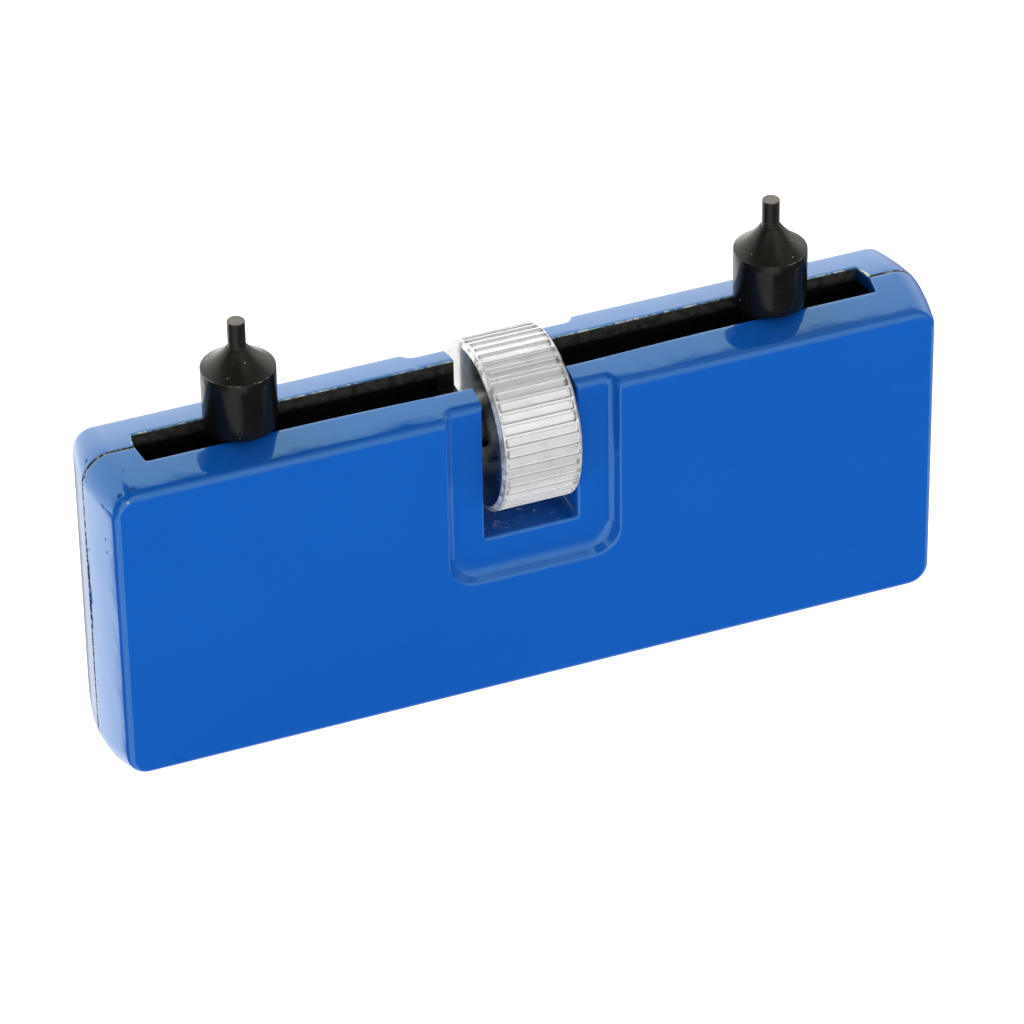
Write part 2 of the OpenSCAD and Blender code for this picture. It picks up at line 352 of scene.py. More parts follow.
def blue_paint():
    """Thick gloss enamel: long soft waves, craters near the left end, dust specks and fine scratches, with
    painted shade in the craters, on the window's floor and on the slot's end walls.
    """
    m = Material("blue_enamel", IOR=1.65, Specular_Tint=(0.54, 1.0, 1.0, 1))
    x, y, z = m.split()
    deep, light = (0.0045, 0.093, 0.455, 1), (0.0060, 0.107, 0.500, 1)
    colour = m.mix(m.noise(55, 3), deep, light)
    # craters, more of them towards the left end, darkened inside as painted shade
    left = m.times(m.range(x, -0.0345, -0.0375), m.range(z, 0.013, 0.024))
    shaded_crater = m.specks(800, 0.25, 0.15, m.math("SUBTRACT", 0.955, m.times(left, 0.42)))
    colour = m.mix(m.times(shaded_crater, 0.75), colour, (0.003, 0.050, 0.24, 1))
    dust = m.specks(700, 0.085, 0.04, 0.90)
    colour = m.mix(m.times(dust, 0.5), colour, (0.35, 0.52, 0.85, 1))
    # fine scratches in two directions
    first = m.noise(1.0, 1, place=m.stretched((5200, 5200, 260), (0.2, 0.5, 0.1)))
    second = m.noise(1.0, 1, place=m.stretched((320, 4300, 4300), (0.4, 0.3, 0.9)))
    worn = m.range(m.noise(95, 2), 0.56, 0.70)
    lines = m.math("MAXIMUM", m.range(first, 0.76, 0.82), m.range(second, 0.77, 0.83))
    scratch = m.times(lines, worn)
    colour = m.mix(m.times(scratch, 0.18), colour, (0.10, 0.28, 0.68, 1))
    # a small chip through to the casting, at the top left corner of the front face
    from_chip = m.add("ShaderNodeVectorMath", {0: m.place, 1: Vector(CHIP) * MM}, operation="DISTANCE")
    ragged = m.plus(from_chip.outputs["Value"], m.times(m.noise(2600, 3), 0.00034))
    chip = m.range(ragged, 0.00038, 0.00024)
    colour = m.mix(chip, colour, (0.30, 0.33, 0.29, 1))
    # the window's floor, under the wheel, is darkened as painted shade, and carries pale crumbs of casting
    inside = m.math("LESS_THAN", m.size(x), (WINDOW_HALF + 0.1) * MM)
    below = m.math("LESS_THAN", z, (WINDOW_Z + 0.25) * MM)
    above = m.math("GREATER_THAN", z, (WINDOW_Z - 0.02) * MM)
    floor_zone = m.times(m.times(inside, below), above)
    crumbs = m.times(floor_zone, m.range(m.noise(1500, 4, 0.6), 0.62, 0.68))
    colour = m.mix(m.times(floor_zone, 0.5), colour, (0.002, 0.045, 0.22, 1))
    colour = m.mix(m.times(crumbs, 0.5), colour, (0.10, 0.22, 0.50, 1))
    # the end walls of the slot, deep in it, are darkened as painted shade
    shaded_end_wall = m.times(m.range(m.size(x), 0.0344, 0.0346), m.range(m.size(x), 0.03512, 0.03508))
    shaded_end_wall = m.times(shaded_end_wall, m.range(z, 0.0317, 0.0314))
    shaded_end_wall = m.times(shaded_end_wall, m.range(m.size(y), 0.0023, 0.0022))
    colour = m.mix(m.times(shaded_end_wall, 0.75), colour, (0.002, 0.020, 0.07, 1))
    m.link(colour, "Base Color")
    rough = m.range(m.noise(180, 3), 0.3, 0.75, 0.018, 0.052)
    dull = m.plus(m.times(scratch, 0.2), m.times(chip, 0.4))
    dull = m.plus(dull, m.times(floor_zone, 0.2))
    m.link(m.plus(rough, m.plus(dull, m.times(shaded_crater, 0.3))), "Roughness")
    matt = m.math("MAXIMUM", m.times(shaded_crater, 0.9), m.times(floor_zone, 0.55))
    m.link(m.range(matt, 0.0, 1.0, 0.5, 0.08), "Specular IOR Level")
    wave = m.bump(m.noise(170, 1), 0.00008, 1.0)
    peel = m.bump(m.noise(760, 2), 0.000012, 1.0, wave)
    pitted = m.bump(m.plus(shaded_crater, chip), 0.00005, -1.0, peel)
    m.link(m.bump(crumbs, 0.00003, 1.0, pitted), "Normal")
    return m.material


def dark_casting_and_shade():
    """Bare die-cast metal, duller grey on the slot's lips and painted near black below them as shade in the
    hollows.
    """
    m = Material("dark_casting_and_shade")
    # grey on the lips, and near black below them: painted shade in the hollows
    lip = m.range(m.split()[2], 0.0304, 0.0308)
    grain = m.noise(1400, 4, 0.6)
    deep = m.mix(grain, (0.003, 0.003, 0.003, 1), (0.010, 0.010, 0.010, 1))
    grey = m.mix(m.range(grain, 0.35, 0.65), (0.018, 0.019, 0.020, 1), (0.062, 0.062, 0.060, 1))
    m.link(m.mix(lip, deep, grey), "Base Color")
    m.link(m.range(grain, 0.3, 0.7, 0.30, 0.55), "Roughness")
    m.link(m.bump(m.noise(2600, 4), 0.00005, 0.9), "Normal")
    return m.material


def worn_edge():
    """The painted edge of the slot: chipped through to pale metal in short dashes."""
    m = Material("chipped_edge")
    chips = m.range(m.noise(1900, 3, 0.6), 0.38, 0.52)
    where = m.range(m.noise(170, 2), 0.25, 0.42)
    rear = m.range(m.split()[1], -0.0005, 0.0005, 0.12, 1.0)
    chip = m.times(m.times(chips, where), rear)
    tone = m.mix(m.range(m.noise(1300, 2), 0.4, 0.6), (0.16, 0.34, 0.40, 1), (0.68, 0.70, 0.62, 1))
    m.link(m.mix(chip, (0.020, 0.13, 0.42, 1), tone), "Base Color")
    m.link(m.range(chip, 0.0, 1.0, 0.08, 0.40), "Roughness")
    m.link(m.times(chip, 0.3), "Metallic")
    m.link(m.bump(chips, 0.00003, -0.8), "Normal")
    return m.material


def seam_edge():
    """The torn paint film along the seam, dark in the gap with grey crumbs of bare casting."""
    m = Material("seam_edge")
    crumbs = m.range(m.noise(1700, 4, 0.7), 0.50, 0.58)
    m.link(m.mix(crumbs, (0.004, 0.006, 0.010, 1), (0.42, 0.43, 0.43, 1)), "Base Color")
    m.link(m.range(crumbs, 0.0, 1.0, 0.35, 0.6), "Roughness")
    m.link(m.bump(crumbs, 0.00004, 0.8), "Normal")
    return m.material


def wheel_aluminium():
    """Bright frosted aluminium: tool streaks along the flutes, small nicks, painted shade on the walls between
    the flutes, and darkened flute ends.
    """
    m = Material("bright_aluminium", Metallic=0.45)
    streak = m.noise(1.0, 2, place=m.stretched((420, 5200, 5200)))
    colour = m.mix(streak, (0.71, 0.71, 0.745, 1), (0.83, 0.83, 0.860, 1))
    nick = m.specks(1300, 0.22, 0.10, 0.90)
    colour = m.mix(m.times(nick, 0.35), colour, (0.35, 0.35, 0.38, 1))
    # the walls between the flutes, known by their depth under the wheel's rim, are darkened as painted shade
    radius = m.from_axis()
    wall = m.times(m.range(radius, (WHEEL_R - 0.03) * MM, (WHEEL_R - 0.06) * MM),
                   m.range(radius, (WHEEL_R - 0.15) * MM, (WHEEL_R - 0.11) * MM))
    colour = m.mix(m.times(wall, 0.55), colour, (0.26, 0.26, 0.27, 1))
    # the ends of the flutes are darkened: in patches where the flutes are deep, and in ragged patches
    from_middle = m.size(m.math("SUBTRACT", m.split()[0], WHEEL_X * MM))
    at_ends = m.range(from_middle, (FLUTE_HALF_L - 0.45) * MM, (FLUTE_HALF_L - 0.15) * MM)
    deep = m.range(radius, (WHEEL_R - 0.05) * MM, (WHEEL_R - 0.16) * MM)
    dark_patches = m.range(m.noise(900, 3, 0.6), 0.44, 0.60)
    ragged_patches = m.times(m.range(m.noise(1300, 3, 0.6), 0.55, 0.62), 0.7)
    darkened_ends = m.times(at_ends, m.math("MAXIMUM", m.times(deep, dark_patches), ragged_patches))
    colour = m.mix(m.times(darkened_ends, 0.75), colour, (0.15, 0.14, 0.13, 1))
    m.link(colour, "Base Color")
    m.link(m.range(m.noise(700, 4), 0.3, 0.7, 0.24, 0.40), "Roughness")
    fine = m.bump(streak, 0.000012, 0.7)
    m.link(m.bump(nick, 0.00006, -0.8, fine), "Normal")
    return m.material


def wheel_face():
    """The wheel's side faces: greyer and smoother, with rings left by the lathe tool."""
    m = Material("faced_aluminium", Metallic=1.0)
    rings = m.math("SINE", m.times(m.from_axis(), 2 * math.pi / (0.09 * MM)))
    m.link(m.mix(m.noise(420, 3), (0.30, 0.305, 0.32, 1), (0.40, 0.405, 0.42, 1)), "Base Color")
    m.link(m.range(m.noise(900, 3), 0.3, 0.7, 0.10, 0.20), "Roughness")
    m.link(m.bump(rings, 0.000002, 0.5), "Normal")
    return m.material


def black_oxide():
    """Blackened turned steel with a thin film of oil: glossy, with a few specks of dust."""
    m = Material("black_oxide", IOR=1.5, Specular_IOR_Level=0.21)
    patches = m.noise(420, 4, 0.6)
    colour = m.mix(patches, (0.0030, 0.0032, 0.0042, 1), (0.0070, 0.0070, 0.0078, 1))
    speck = m.specks(1300, 0.12, 0.06, 0.84)
    m.link(m.mix(m.times(speck, 0.8), colour, (0.35, 0.34, 0.32, 1)), "Base Color")
    m.link(m.range(m.noise(700, 3), 0.3, 0.7, 0.15, 0.25), "Roughness")
    uneven = m.bump(m.noise(330, 2), 0.00003, 1.0)
    m.link(m.bump(m.noise(1600, 3), 0.000008, 0.6, uneven), "Normal")
    return m.material


def turned_cone():
    """The jaws' cones: the same black finish, browner and duller, with tool rings and dust."""
    m = Material("turned_cone", IOR=1.5, Specular_IOR_Level=0.24)
    rings = m.math("SINE", m.times(m.split()[2], 2 * math.pi / (0.10 * MM)))
    patches = m.noise(650, 4, 0.6)
    colour = m.mix(patches, (0.006, 0.0050, 0.0040, 1), (0.015, 0.0125, 0.010, 1))
    speck = m.specks(1900, 0.16, 0.09, 0.72)
    m.link(m.mix(m.times(speck, 0.8), colour, (0.35, 0.34, 0.32, 1)), "Base Color")
    m.link(m.range(m.noise(800, 3), 0.3, 0.7, 0.26, 0.38), "Roughness")
    tool = m.bump(rings, 0.0000025, 0.6)
    m.link(m.bump(m.noise(1600, 3), 0.00001, 0.5, tool), "Normal")
    return m.material


def rubbed_rim():
    """The jaws' shoulder rims, rubbed to bare steel in short dashes."""
    m = Material("rubbed_rim", Metallic=0.2)
    rubbed = m.range(m.noise(1500, 3, 0.6), 0.50, 0.62)
    m.link(m.mix(rubbed, (0.008, 0.008, 0.008, 1), (0.20, 0.195, 0.18, 1)), "Base Color")
    m.link(m.range(m.noise(1800, 3), 0.3, 0.7, 0.3, 0.45), "Roughness")
    return m.material


def ground_end():
    """The ground ends of the jaw pins, browned and scratched."""
    m = Material("ground_end", Metallic=0.3)
    lines = m.noise(1.0, 2, place=m.stretched((900, 9000, 900), (0, 0, 0.5)))
    m.link(m.mix(lines, (0.075, 0.066, 0.056, 1), (0.19, 0.168, 0.148, 1)), "Base Color")
    m.link(m.range(m.noise(1800, 3), 0.3, 0.7, 0.35, 0.5), "Roughness")
    m.link(m.bump(lines, 0.00001, 0.6), "Normal")
    return m.material


def screw_steel():
    """Cut and oiled thread steel."""
    m = Material("oiled_steel", Metallic=1.0)
    m.link(m.mix(m.noise(800, 4), (0.10, 0.10, 0.10, 1), (0.24, 0.23, 0.22, 1)), "Base Color")
    m.link(m.range(m.noise(1200, 3), 0.3, 0.7, 0.28, 0.45), "Roughness")
    m.link(m.bump(m.noise(3000, 3), 0.00001, 0.5), "Normal")
    return m.material


def plated_steel():
    """Zinc-plated steel, for screws, washers and pins."""
    m = Material("plated_steel", Metallic=1.0)
    m.link(m.mix(m.noise(600, 4), (0.48, 0.49, 0.50, 1), (0.66, 0.66, 0.66, 1)), "Base Color")
    m.link(m.range(m.noise(1500, 4), 0.3, 0.7, 0.24, 0.42), "Roughness")
    m.link(m.bump(m.noise(2800, 3), 0.000012, 0.6), "Normal")
    return m.material


def bronze():
    """Bearing bronze, slightly darkened by oil."""
    m = Material("oiled_bronze", Metallic=1.0)
    m.link(m.mix(m.noise(500, 4), (0.30, 0.17, 0.06, 1), (0.50, 0.32, 0.13, 1)), "Base Color")
    m.link(m.range(m.noise(1400, 3), 0.3, 0.7, 0.3, 0.45), "Roughness")
    m.link(m.bump(m.noise(2600, 3), 0.00001, 0.6), "Normal")
    return m.material


PAINT = blue_paint()
CASTING_AND_SHADE = dark_casting_and_shade()
CHIPPED = worn_edge()
SEAM = seam_edge()
ALUMINIUM = wheel_aluminium()
WHEEL_FACE = wheel_face()
OXIDE = black_oxide()
CONE = turned_cone()
RIM = rubbed_rim()
GROUND = ground_end()
SCREW_STEEL = screw_steel()
PLATED = plated_steel()
BRONZE = bronze()

SHELL_MATERIALS = [PAINT, CASTING_AND_SHADE, CHIPPED, SEAM]
PAINTED, BARE, EDGE, GAP = range(4)


# ---- the shells ----
STRAIGHT = HALF_T - EDGE_R
LEAN = math.atan(DRAFT_CURVE * END_DRAFT / STRAIGHT)


def recess_steps():
    """Steps (width, depth) from the face to the recess's floor: a small round, a slope and a wide fillet."""
    mouth_r, fillet_r, wall = 0.28, 0.75, math.radians(64)
    slope = (RECESS_DEPTH - (mouth_r + fillet_r) * (1 - math.cos(wall))) / math.sin(wall)
    steps = []
    for k in range(7):
        a = wall * k / 6
        steps.append((mouth_r * math.sin(a), mouth_r * (1 - math.cos(a))))
    w, d = steps[-1]
    w, d = w + slope * math.cos(wall), d + slope * math.sin(wall)
    for k in range(10):
        a = wall * (1 - k / 9)
        steps.append((w + fillet_r * (math.sin(wall) - math.sin(a)),
                      d + fillet_r * (math.cos(a) - math.cos(wall))))
    scale = (RECESS_HALF - RECESS_FLOOR_HALF) / steps[-1][0]
    return [(w * scale, d) for w, d in steps]


RECESS_STEPS = recess_steps()
RECESS_X = [RECESS_HALF - w for w, d in RECESS_STEPS]


def top_places():
    """Places along the top edge, from right to left, with one at each step of the recess."""
    count = math.ceil((TOP_REACH - RECESS_HALF - 0.1) / TOP_STEP)
    outside = [TOP_REACH - TOP_STEP * k for k in range(count)]
    inside = [RECESS_X[-1] * (1 - k / INSIDE_STEPS) for k in range(1, 2 * INSIDE_STEPS)]
    right = outside + RECESS_X
    return right + inside + [-x for x in reversed(right)]


TOP_PLACES = top_places()


def recess_depth_at(x):
    """How far back from the face the recess is at x, along the top edge."""
    for (w0, d0), (w1, d1) in zip(RECESS_STEPS, RECESS_STEPS[1:]):
        if RECESS_HALF - w1 <= abs(x) <= RECESS_HALF - w0:
            return d0 + (d1 - d0) * (RECESS_HALF - w0 - abs(x)) / max(w1 - w0, 1e-6)
    return RECESS_DEPTH if abs(x) < RECESS_HALF else 0.0


def side_points(i, a, b):
    """Points along side i of the shell's outline, between its corners: right, top, left, bottom."""
    if i == 1:
        return [(x, a[1]) for x in TOP_PLACES]
    count = (END_STEPS, 0, END_STEPS, BOTTOM_STEPS)[i]
    return [(a[0] + (b[0] - a[0]) * k / count, a[1] + (b[1] - a[1]) * k / count)
            for k in range(1, count)]


def worst_seam(x, z):
    """1 in the middle of the left end, where the seam gapes most, falling to 0 away from it."""
    return max(0.0, min(1.0, (-x - 38) * 0.8)) * math.exp(-((z - 18) / 7) ** 2)


def torn(x, z, seed):
    """How far the paint is torn back at the seam: more on the left end and by the slot's right end."""
    fine = noise.noise(Vector((x * 4.3, seed, z * 4.3)))
    coarse = noise.noise(Vector((x * 0.9, seed + 5, z * 0.9)))
    most = 0.11 + 0.45 * worst_seam(x, z) + 0.14 * math.exp(-((x - 37) / 2.2) ** 2)
    return most * (0.45 + 0.9 * abs(fine) + 0.8 * max(0.0, coarse + 0.1))


def shell_ring(y, inset, seed, tear=0.0):
    """One ring of the shell, y out from the seam. Its top edge steps back at the thumb recess."""
    f = (min(y, STRAIGHT) / STRAIGHT) ** DRAFT_CURVE
    rise = max(0.0, (min(y, STRAIGHT) - LAND_HALF) / (STRAIGHT - LAND_HALF)) * TOP_DRAFT
    r = SEAM_CORNER_R + (FACE_CORNER_R - SEAM_CORNER_R) * f - inset
    top = BODY_H - f * TOP_DRAFT - inset
    outline = rounded_outline(HALF_L - f * END_DRAFT - inset, rise + inset, top, r, sides=side_points)
    ring = []
    for x, z in outline:
        back = recess_depth_at(x) if z > top - 1e-6 else 0.0
        flat = min(y, STRAIGHT) * (1 - back / STRAIGHT)
        depth = flat if y <= STRAIGHT else y - back
        if back:
            z = BODY_H - TOP_DRAFT * (flat / STRAIGHT) ** DRAFT_CURVE - inset
        if y < SEAM_DEPTH:
            uneven = 0.6 + abs(noise.noise(Vector((x * 2.1, seed + 9, z * 2.1))))
            depth *= 1 + 2.0 * worst_seam(x, z) * uneven
        if tear:
            to_middle = Vector((math.copysign(max(0.0, abs(x) - TEAR_FROM_X), -x),
                                max(0.0, TEAR_FROM_Z[0] - z) - max(0.0, z - TEAR_FROM_Z[1])))
            pull = to_middle.normalized() * torn(x, z, seed) * tear
            x, z = x + pull.x, z + pull.y
        ring.append((x, -depth, z))
    return ring


def shell_blank(name, seed):
    """The outside of a shell, made as the front one, y negative: sides, round edge, face and thumb recess."""
    rings = [shell_ring(0.0, 0.0, seed, 1.0), shell_ring(0.07, 0.0, seed, 0.3), shell_ring(0.16, 0.0, seed)]
    rings += [shell_ring(y, 0.0, seed) for y in (0.4, 0.9, 1.7, LAND_HALF, 3.5, 4.3, 4.9, STRAIGHT)]
    beyond = math.tan(LEAN) * (HALF_T - EDGE_R * (1 - math.sin(LEAN)) - STRAIGHT)
    for k in range(EDGE_STEPS + 1):
        a = LEAN + (math.pi / 2 - LEAN) * k / EDGE_STEPS
        inset = beyond + EDGE_R * (math.cos(LEAN) - math.cos(a))
        rings.append(shell_ring(HALF_T - EDGE_R * (1 - math.sin(a)), inset, seed))
    n = len(rings[0])
    points, faces = loft(rings, caps=(True, False))
    slots = [GAP] * (2 * n) + [PAINTED] * (len(faces) - 2 * n - 1) + [BARE]
    # the recess: each step runs down from the face's top edge, around below, and up to the top edge again
    last = len(points) - n
    around = [last + i for i in range(n)]
    first_top = last + 2 * (CORNER_STEPS + 1) + END_STEPS - 1
    last_top = first_top + len(TOP_PLACES) - 1
    count_out = len(TOP_PLACES) // 2 - (INSIDE_STEPS - 1) - len(RECESS_X)
    per_side, per_bottom, corner = 22, 24, 12
    previous = None
    for k, (w, d) in enumerate(RECESS_STEPS):
        x_half = RECESS_HALF - w
        low = RECESS_Z + (RECESS_FLOOR_Z - RECESS_Z) * w / (RECESS_HALF - RECESS_FLOOR_HALF)
        r = RECESS_CORNER_R - RECESS_CORNER_LESS * w / (RECESS_HALF - RECESS_FLOOR_HALF)
        right_top = first_top + count_out + k
        left_top = last_top - count_out - k
        z_top = points[right_top][2]
        y = d - HALF_T
        curve = [(-x_half, y, z_top + (low + r - z_top) * j / per_side) for j in range(1, per_side)]
        arc = [math.radians(180 + 90 * j / corner) for j in range(corner + 1)]
        curve += [(r - x_half + r * math.cos(a), y, low + r + r * math.sin(a)) for a in arc]
        curve += [(-x_half + r + (2 * x_half - 2 * r) * j / per_bottom, y, low) for j in range(1, per_bottom)]
        arc = [math.radians(270 + 90 * j / corner) for j in range(corner + 1)]
        curve += [(x_half - r + r * math.cos(a), y, low + r + r * math.sin(a)) for a in arc]
        curve += [(x_half, y, low + r + (z_top - low - r) * j / per_side) for j in range(1, per_side)]
        start = len(points)
        points += curve
        ids = [left_top] + list(range(start, start + len(curve))) + [right_top]
        if previous:
            for j in range(len(ids) - 1):
                faces.append((previous[j], previous[j + 1], ids[j + 1], ids[j]))
                slots.append(PAINTED)
        else:
            here, there = around.index(left_top), around.index(right_top)
            faces.append(tuple(around[here:] + around[:there + 1] + list(reversed(ids[1:-1]))))
            slots.append(PAINTED)
        previous = ids
    here, there = around.index(previous[-1]), around.index(previous[0])
    faces.append(tuple(around[here:there + 1] + previous[1:-1]))
    slots.append(PAINTED)
    return mesh_object(name, points, faces, SHELL_MATERIALS, slots)


def window_cutter():
    """The window, flared where it opens on the recess's floor, so that its edge there is round."""
    floor_y, r = HALF_T - RECESS_DEPTH, WINDOW_EDGE_R
    stations = [(0.5, 0.0), (r - floor_y, 0.0)]
    for k in range(1, 6):
        a = math.radians(15 * k)
        stations.append((r - floor_y - r * math.sin(a), r * (1 - math.cos(a))))
    stations.append((-floor_y - 0.1, stations[-1][1] + 0.35))
    stations.append((-HALF_T - 1, stations[-1][1]))
    rings = []
    for y, out in stations:
        outline = rounded_outline(WINDOW_HALF + out, WINDOW_Z - out, BODY_H + 4, 0.35 + out, corner=6)
        rings.append(at_y(outline, y))
    points, faces = loft(rings)
    return mesh_object("cutter", points, faces, SHELL_MATERIALS, [PAINTED] * len(faces))


def top_height(y):
    """Height of the shell's top at a distance y from the seam."""
    return BODY_H - TOP_DRAFT * (y / STRAIGHT) ** DRAFT_CURVE


def slot_cutter(bow, rear):
    """Half of the slot, with a small round lip. bow is how far its edge swings out towards the window."""
    corner = 0.14
    end = SLOT_HALF_L - SLOT_DRAFT
    plan = [(-SLOT_HALF_L, 0.2), (-SLOT_HALF_L, 0.0), (-end, -SLOT_HALF_W + corner)]
    steps = 60
    for k in range(steps + 1):
        x = (2 * k / steps - 1) * (end - corner)
        plan.append((x, -SLOT_HALF_W - bow * math.exp(-((abs(x) - WINDOW_HALF) / 9) ** 2)))
    plan += [(-x, y) for x, y in reversed(plan[:3])]
    directions = []
    for i, (x, y) in enumerate(plan):
        at_end = min(i, len(plan) - 1 - i)
        dx, dy = ((1.0, 0.0), (1.0, 0.0), (0.8, 0.5))[at_end] if at_end < 3 else (0.0, 1.0)
        directions.append((math.copysign(dx, x), -dy))
    profile = []
    for angle in (0, 20, 40, 60, 75):
        a = math.radians(angle)
        profile.append((SLOT_LIP_R * (1 - math.cos(a)), SLOT_LIP_R * (math.sin(a) - 1)))
    profile.append((profile[-1][0] + 0.22, profile[-1][1] + 0.06))
    rings = [[(x, y, SLOT_FLOOR) for x, y in plan]]
    for out, up in profile:
        rings.append([(x + out * u, y + out * v, top_height(abs(y)) + up)
                      for (x, y), (u, v) in zip(plan, directions)])
    rings.append([(x, y, BODY_H + 3) for x, y, z in rings[-1]])
    points, faces = loft(rings)
    n = len(plan)
    walls = [PAINTED if min(j, n - 2 - j) < 3 else BARE for j in range(n)]
    lip = [EDGE if rear else PAINTED] * (n * len(profile))
    slots = walls + lip + [BARE] * 2
    return mesh_object("cutter", points, faces, SHELL_MATERIALS, slots)


def pocket_cutter(side):
    """The hollow below the channel on one side, left full around its bosses."""
    x = sorted((side * POCKET_X[0], side * POCKET_X[1]))
    pocket = box_cutter(x, (-HALF_T + POCKET_WALL, 1.0), POCKET_Z, SHELL_MATERIALS, BARE)
    bosses = [(side * sx, SCREW_Z) for sx in SCREW_X] + [(side * LOCATE_X, LOCATE_Z)]
    rod = [(-HALF_T - 1, BOSS_R), (2, BOSS_R)]
    return cut(pocket, [rod_cutter(rod, "y", b, SHELL_MATERIALS, BARE) for b in bosses])


def shell(name, seed, bow, rear):
    """One painted half of the body. The rear one is made in the front's place and turned about Z."""
    obj = shell_blank(name, seed)
    cutters = [window_cutter(), slot_cutter(bow, rear)]
    for side in (-1, 1):
        x = sorted((side * CHANNEL_START, side * CHANNEL_END))
        cutters.append(box_cutter(x, (-CHANNEL_HALF, 1), (CHANNEL_FLOOR, CHANNEL_TOP),
                                  SHELL_MATERIALS, BARE))
        cutters.append(pocket_cutter(side))
        cutters.append(rod_cutter([(-LOCATE_HALF, LOCATE_R), (1, LOCATE_R)], "y",
                                  (side * LOCATE_X, LOCATE_Z), SHELL_MATERIALS, BARE))
        for sx in SCREW_X:
            if rear:
                hole, mouth = SCREW_R + 0.1, SCREW_HEAD_R + 0.05
                rings = [(-HALF_T - 0.5, mouth + 0.5), (-HALF_T + mouth - hole, hole), (1, hole)]
            else:
                rings = [(-SCREW_DEPTH, SCREW_R), (1, SCREW_R)]
            cutters.append(rod_cutter(rings, "y", (side * sx, SCREW_Z), SHELL_MATERIALS,
                                      PAINTED if rear else BARE))
    for end, r in ((CHANNEL_START + 1, CENTRE_BUSH_R), (BUSH_END, END_BUSH_R)):
        cutters.append(rod_cutter([(-end, r), (end, r)], "x", (0, AXIS_Z), SHELL_MATERIALS, BARE))
    cut(obj, cutters)
    if rear:
        obj.data.transform(Matrix.Rotation(math.pi, 4, "Z"))
    smooth(obj)
    weighted_normals(obj)
    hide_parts("rear_shell" if rear else "front_shell")
    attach(obj, "body")


shell("front_shell_painted", 3.1, 0.3, False)
shell("rear_shell_painted", 7.7, -0.06, True)


# ---- the thumbwheel ----
def thumbwheel():
    """The wheel, lofted about its axis, with a bore and the cross pin's hole. Each flute differs a little."""
    flutes = 46
    depth = 0.22
    # where the mesh's lines run, in shares of a flute's pitch from the flute's middle
    half_places = (0.08, 0.22, 0.32, 0.355, 0.38, 0.40, 0.415, 0.44)
    places = [-p for p in reversed(half_places)] + list(half_places)
    per_flute = len(places)
    chamfer_r, chamfer_w = 0.5, 0.3
    bore, bore_dip = THREAD_R, 0.03
    pitch = 2 * math.pi * WHEEL_R / flutes
    half = 0.41 * pitch
    end_round = 0.28

    def flute(theta, which, x):
        """Radius of the fluted surface: a wide shallow channel that ends in a round before each rim."""
        vary = 0.10 * noise.noise(Vector((which * 3.7, 0.3, 0.9 + x * 0.15)))
        s = theta * WHEEL_R / (half * (1 + 0.3 * vary))
        ends = FLUTE_HALF_L + 0.14 * noise.noise(Vector((which * 5.3, 2.3, 1.0 if x > 0 else 4.0)))
        over = max(0.0, abs(x) - (ends - end_round)) / end_round
        t = min(1.0, (s ** 4 + over ** 4) ** 0.25)
        tilt = 0.05 * noise.noise(Vector((which * 2.9, 7.1, 0.4)))
        return WHEEL_R - (depth * (1 + vary) + tilt * s) * (1 - t ** 12)

    def soft_min(a, b, k=0.035):
        """The lesser of two, rounded where they meet."""
        h = max(k - abs(a - b), 0) / k
        return min(a, b) - h * h * k / 4

    w = WHEEL_HALF_W
    edge = w - chamfer_w
    stations = [-w + chamfer_w * k / 10 for k in range(11)]
    ends = [edge - 0.05 * k for k in range(1, 17)]
    middle = ends[-1]
    stations += [-x for x in ends] + [-middle + 2 * middle * k / 14 for k in range(1, 14)]
    stations += ends[::-1] + [edge + chamfer_w * k / 10 for k in range(11)]
    count = flutes * per_flute
    rings, kinds = [], []

    def ring(x, radius, kind):
        """Adds a ring at x. kind is the material's place in the list."""
        made = []
        for j in range(count):
            which, k = divmod(j, per_flute)
            theta = places[k] * 2 * math.pi / flutes
            a = 2 * math.pi * (which + 0.5) / flutes + theta
            r = radius(theta, which, a)
            made.append((WHEEL_X + x, r * math.cos(a), AXIS_Z + r * math.sin(a)))
        rings.append(made)
        kinds.append(kind)

    face_out = WHEEL_R - chamfer_r
    face_radii = [bore, bore + 0.25, 4.0, 5.5, 6.8, face_out - 0.12, face_out - 0.03]

    def side_face(side, radii):
        """Rings of one side face, with a shallow dish at the bore."""
        for r in radii:
            ring(side * (w - (bore_dip if r == bore else 0.0)), lambda t, i, a: r, 1)

    side_face(-1, face_radii)
    for x in stations:
        def radius(t, i, a, x=x):
            over = max(0.0, abs(x) - edge) / chamfer_w
            rough = 0.004 * noise.noise(Vector((x * 3, a * 24, 1.1)))
            return soft_min(WHEEL_R - chamfer_r * over, flute(t, i, x)) + rough
        ring(x, radius, 0)
    side_face(1, reversed(face_radii))
    points, faces = loft(rings, wrap=True)
    slots = []
    for i in range(len(rings)):
        slots += [kinds[i] if kinds[i] == kinds[(i + 1) % len(rings)] else 0] * count
    obj = mesh_object("fluted_thumbwheel", points, faces, [ALUMINIUM, WHEEL_FACE], slots)
    # the hole of the pin that locks the wheel to the screw
    hole_r, sides = 0.75, 32
    angles = [2 * math.pi * k / sides for k in range(sides)]
    hole = [[(WHEEL_X + hole_r * math.cos(a), hole_r * math.sin(a), z) for a in angles]
            for z in (AXIS_Z - WHEEL_R - 1, AXIS_Z - bore + 0.4)]
    points, faces = loft(hole)
    cut(obj, [mesh_object("cutter", points, faces, [ALUMINIUM, WHEEL_FACE])])
    smooth(obj, 50)
    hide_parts("thumbwheel")
    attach(obj, "wheel_and_screw")


thumbwheel()


